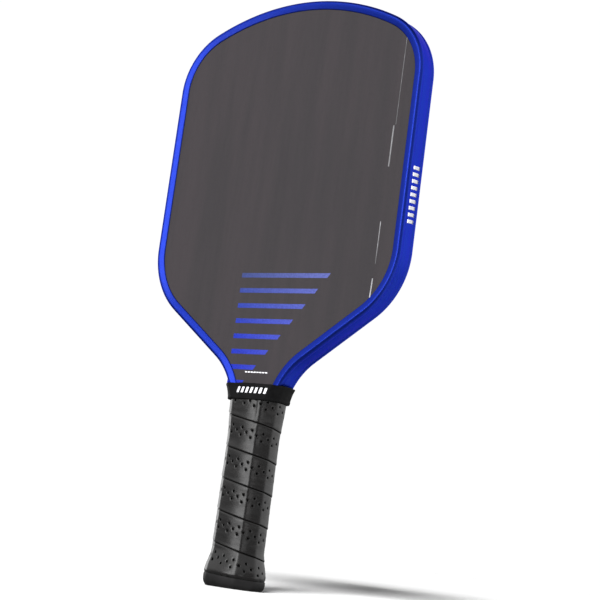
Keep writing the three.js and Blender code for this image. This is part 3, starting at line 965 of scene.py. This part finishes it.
def bar_material():
    """Blue ink that fades upwards to grey and is paler on the right."""
    paint = Paint("blue_ink").set(Specular_IOR_Level=0.15)
    tone = paint.ramp(paint.share_along(*BARS_UPWARDS), [
        (0.0, (0.005, 0.011, 0.19)), (0.45, (0.008, 0.016, 0.175)), (0.75, (0.014, 0.024, 0.135)),
        (1.0, (0.022, 0.030, 0.085))])
    sideways = paint.share_along(*BARS_SIDEWAYS)
    tone = paint.mix(paint.maths("MULTIPLY", sideways, 0.45), tone, (0.08, 0.09, 0.27))
    wear = paint.ramp(paint.noise((1500, 1500, 900)), [(0.3, grey(0.75)), (0.75, grey(1.15))])
    tone = paint.mix(1.0, tone, wear, "MULTIPLY")
    paint.bump(weave(paint), 0.3, WEAVE_DEPTH)
    return paint.finished(tone, paint.scaled(paint.noise(800, 2), 0.45, 0.65))


def white_ink_material():
    """White ink that is worn thin in places, most of all along the top stretch."""
    paint = Paint("white_ink").set(Specular_IOR_Level=0.15)
    lift = paint.share_along(*LINE_UPWARDS)
    tone = paint.ramp(lift, [(place, (level, level, 1.04 * level)) for place, level in LINE_GREYS])
    wear = paint.noise((900, 900, 240), 4, 0.7)
    worn = paint.ramp(wear, [(0.3, grey(0.55)), (0.62, grey(1.1))])
    paint.bump(weave(paint), 0.3, WEAVE_DEPTH)
    return paint.finished(paint.mix(1.0, tone, worn, "MULTIPLY"), paint.scaled(wear, 0.5, 0.7))


def clean_ink_material():
    """White ink with little wear."""
    paint = Paint("clean_white_ink").set(Specular_IOR_Level=0.3)
    grain = paint.noise(1200)
    tone = paint.ramp(grain, [(0.3, (0.36, 0.36, 0.38)), (0.6, (0.46, 0.46, 0.48))])
    paint.bump(grain, 0.15, 0.00004)
    return paint.finished(tone, paint.scaled(grain, 0.4, 0.55))


def grip_material():
    """Black tape with blotches, fine pores and an uneven gloss."""
    paint = Paint("black_cushion_tape").set(Specular_IOR_Level=0.85)
    tone = paint.two_tones(paint.noise((90, 90, 140)), (0.0010, 0.0009, 0.0009), (0.0022, 0.0019, 0.0018))
    paint.bump(paint.cells(1500), 0.05, 0.00005)
    paint.bump(paint.noise((140, 140, 260), 2), 0.1, 0.0002)
    return paint.finished(tone, paint.scaled(paint.noise((220, 220, 420)), 0.22, 0.30))


def grained_material(name, dark, light, rough, bump, grains, **settings):
    """A finish from three grains, which vary its tone, its gloss and its surface."""
    paint = Paint(name).set(**settings)
    tone, gloss, surface = (paint.noise(*grain) for grain in grains)
    paint.bump(surface, *bump)
    return paint.finished(paint.two_tones(tone, dark, light), paint.scaled(gloss, *rough))


# A darker, nearly matt finish for the faces in the holes: painted shade in the recesses.
def hole_material():
    return grained_material("tape_holes_painted_shade", grey(0.0008), grey(0.0016), (0.85, 0.95), (0.2, 0.0001),
                            [(900, 2)] * 3, Specular_IOR_Level=0.05)


def rubber_material():
    return grained_material("collar_rubber", (0.0016, 0.0016, 0.0017), (0.003, 0.003, 0.0031), (0.5, 0.7),
                            (0.25, 0.0001), [(200,), (400,), (900,)], Specular_IOR_Level=0.12)


def cap_material():
    return grained_material("cap_plastic", (0.004, 0.0039, 0.004), (0.007, 0.0068, 0.007), (0.42, 0.58),
                            (0.2, 0.00006), [(150,), (500,), (1400, 2)], Specular_IOR_Level=0.22)


def badge_material():
    return grained_material("badge_plastic", (0.05, 0.05, 0.055), (0.07, 0.07, 0.075), (0.3, 0.42),
                            (0.1, 0.00005), [(300, 2), (600, 2), (1600, 2)], Specular_IOR_Level=0.5)


# Name, dark and light tone, grain, roughness, bump depth, metallic, and the CAD nodes of each hidden finish
HIDDEN_FINISHES = [
    ("polyurethane_foam", (0.50, 0.40, 0.24), (0.66, 0.55, 0.36), 700, 0.85, 0.0003, 0, ["perimeter_foam"]),
    ("black_handle_foam", grey(0.006), grey(0.014), 700, 0.85, 0.0003, 0,
     ["front_handle_shell", "rear_handle_shell"]),
    ("polypropylene_comb", (0.70, 0.72, 0.68), (0.84, 0.85, 0.82), (200, 200, 40), 0.45, 0.0001, 0,
     ["honeycomb_core"]),
    ("glass_ply", (0.42, 0.50, 0.40), (0.56, 0.62, 0.50), (1500, 1500, 300), 0.5, 0.0001, 0,
     ["front_inner_ply", "rear_inner_ply"]),
    ("staple_wire", (0.45, 0.46, 0.47), (0.62, 0.63, 0.64), (900, 900, 200), 0.3, 0.00003, 1,
     [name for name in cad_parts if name.startswith("cap_staple")]),
    ("finishing_tape", (0.010, 0.010, 0.011), (0.020, 0.020, 0.022), (500, 500, 90), 0.5, 0.0001, 0,
     ["grip_end_tape"]),
]


def finish_cad_nodes():
    """Finishes for the CAD nodes whose shape stays."""
    finishes = dict.fromkeys(["front_carbon_face", "rear_carbon_face"], carbon_material())
    for name, dark, light, scale, rough, depth, metallic, nodes in HIDDEN_FINISHES:
        material = grained_material(name, dark, light, (rough - 0.08, rough + 0.08), (0.4, depth),
                                    [(scale, 4, 0.6)] * 3, Metallic=metallic)
        finishes.update(dict.fromkeys(nodes, material))
    for name, material in finishes.items():
        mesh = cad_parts[name].data
        mesh.materials.clear()
        mesh.materials.append(material)


# ---- Stage, in metres ----

CAMERA_PLACE = (0.59119, -0.79871, 0.02995)
CAMERA_AZIMUTH = 35.434  # degrees to the left of straight back
CAMERA_ELEVATION = 9.541
CAMERA_ROLL = 7.664
CAMERA_LENS = 88.723
SENSOR_WIDTH = 36

FLOOR_REACH = 8
FLOOR_DROP = 0.0002  # by which the floor lies below the butt

# Each soft light's name, place, target, size and watts
SOFT_LIGHTS = [
    ("front_softbox", (-0.235, -1.48, 0.5), (0, 0, 0.2), (0.75, 1.2), 7.5),
    ("low_softbox", (-0.66, -1.36, 0.18), (0, 0, 0.08), (0.22, 0.36), 0.7),
    ("right_softbox", (1.0, -1.11, 0.1), (0, 0, 0.08), (0.22, 0.2), 0.24),
    ("left_softbox", (-1.4, 0.42, 0.12), (0, 0, 0.1), (0.7, 0.3), 0.6),
]

# Direction towards each sun, its strength, and its width in degrees
FRONT_SUN = ((0.37, -0.87, 0.38), 9.8, 16)
REAR_SUN = ((-0.4, 0.89, 0.22), 4.5, 24)

# Directions of the brighter sides of the world
UP = (0, 0, 1)
REAR_SIDE = (0.1, 1, 0)
LEFT_SIDE = (-1, -0.2, 0.1)
RIGHT_SIDE = (0.75, -0.5, 0.4)
FRONT_SIDE = (-0.45, -0.85, 0.3)

BACKDROP_LEVEL = 1.02  # the world as the camera sees it
DIFFUSE_SHARE = 0.35  # of the world's light that falls on matt surfaces


def camera():
    data = bpy.data.cameras.new("camera")
    data.lens = CAMERA_LENS
    data.sensor_width = SENSOR_WIDTH
    data.clip_start = 0.01
    made = in_scene("camera", data)
    made.location = CAMERA_PLACE
    turn = Matrix.Rotation(math.radians(CAMERA_AZIMUTH), 3, "Z")
    lift = Matrix.Rotation(math.radians(90 + CAMERA_ELEVATION), 3, "X")
    roll = Matrix.Rotation(math.radians(CAMERA_ROLL), 3, "Z")
    made.rotation_euler = (turn @ lift @ roll).to_euler()
    bpy.context.scene.camera = made


def floor():
    """A pale floor that looks darker in reflections, most of all in front and to the left."""
    mesh = bpy.data.meshes.new("floor")
    corners = [(x * FLOOR_REACH, y * FLOOR_REACH, 0) for x, y in ((-1, -1), (1, -1), (1, 1), (-1, 1))]
    mesh.from_pydata(corners, [], [(0, 1, 2, 3)])
    made = in_scene("floor", mesh)
    made.location.z = -FLOOR_DROP
    paint = Paint("pale_floor").set(Roughness=0.95, Specular_IOR_Level=0.1)
    in_gloss = paint.node("LightPath", "Is Glossy Ray", {})
    away = paint.maths("MULTIPLY", paint.maths("ADD", paint.axis("X"), paint.axis("Y")), 3.0)
    mirrored = paint.ramp(away, [(0.1, grey(0.12)), (1.0, grey(0.5))])
    paint.tree.links.new(paint.mix(in_gloss, grey(0.8), mirrored), paint.shader.inputs["Base Color"])
    mesh.materials.append(paint.material)


def soft_light(name, place, target, size, watts):
    """A rectangular light that the camera doesn't see."""
    data = bpy.data.lights.new(name, "AREA")
    data.shape = "RECTANGLE"
    data.size, data.size_y = size
    data.energy = watts
    made = in_scene(name, data)
    made.location = place
    aim = Vector(target) - Vector(place)
    made.rotation_euler = aim.to_track_quat("-Z", "Y").to_euler()
    made.visible_camera = False


def sun(name, towards, strength, degrees):
    """A far light in the direction towards. It gives no highlights."""
    data = bpy.data.lights.new(name, "SUN")
    data.energy = strength
    data.angle = math.radians(degrees)
    made = in_scene(name, data)
    made.rotation_euler = (-Vector(towards)).to_track_quat("-Z", "Y").to_euler()
    made.visible_glossy = False
    return made


def keep_off_floor(lamp):
    """Lets a light fall on everything but the floor."""
    receivers = bpy.data.collections.new(lamp.name + "_receivers")
    receivers.objects.link(bpy.data.objects["floor"])
    receivers.collection_objects[0].light_linking.link_state = "EXCLUDE"
    lamp.light_linking.receiver_collection = receivers


def world_light():
    """A white backdrop for the camera. Every other ray gets a dimmer light, brightest behind the object, with
    weaker glows from the left, the upper right and the front, and dim overhead."""
    world = bpy.data.worlds.new("studio")
    bpy.context.scene.world = world
    world.use_nodes = True
    sky = Nodes(world.node_tree)
    place = sky.node("TexCoord", "Generated", {})

    def lobe(direction, start, end, low, high):
        """low to high as the cosine to a direction goes from start to end."""
        towards = Vector(direction).normalized()
        cosine = sky.node("VectorMath", "Value", {0: place, 1: towards}, operation="DOT_PRODUCT")
        levels = {"Value": cosine, "From Min": start, "From Max": end, "To Min": low, "To Max": high}
        return sky.node("MapRange", "Result", levels, interpolation_type="SMOOTHSTEP")

    around = sky.maths("ADD", lobe(REAR_SIDE, -0.25, 0.6, 0.15, 1.0), lobe(LEFT_SIDE, 0.7, 0.97, 0.0, 0.3))
    right = sky.maths("MULTIPLY", lobe(RIGHT_SIDE, 0.65, 0.95, 0.0, 0.4), lobe(UP, 0.2, 0.4, 0.0, 1.0))
    front = sky.maths("MULTIPLY", lobe(FRONT_SIDE, 0.5, 0.9, 0.0, 0.5), lobe(UP, 0.08, 0.25, 0.0, 1.0))
    around = sky.maths("ADD", sky.maths("ADD", around, right), front)
    around = sky.maths("MULTIPLY", around, lobe(UP, 0.65, 0.95, 1.0, 0.35))
    seen = sky.maths("MULTIPLY", sky.node("LightPath", "Is Camera Ray", {}), BACKDROP_LEVEL)
    share = sky.maths("MAXIMUM", sky.node("LightPath", "Is Glossy Ray", {}), DIFFUSE_SHARE)
    strength = sky.maths("MAXIMUM", sky.maths("MULTIPLY", around, share), seen)
    background = world.node_tree.nodes["Background"]
    background.inputs["Color"].default_value = (1, 1, 1, 1)
    world.node_tree.links.new(strength, background.inputs["Strength"])


def studio():
    """The world, softboxes for the highlights, a sun in front for the shadow, and one behind."""
    world_light()
    for light in SOFT_LIGHTS:
        soft_light(*light)
    sun("front_sun", *FRONT_SUN)
    keep_off_floor(sun("rear_sun", *REAR_SUN))
    bpy.context.scene.view_settings.view_transform = "Standard"


# ---- Assembly ----

camera()
floor()
studio()
finish_cad_nodes()
guard, band = edge_guard(), collar()
pieces = [guard, *prints(), *strokes(guard, band), grip_wrap(), band, butt_cap(), butt_badge()]
for piece in pieces:
    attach(piece, "root")
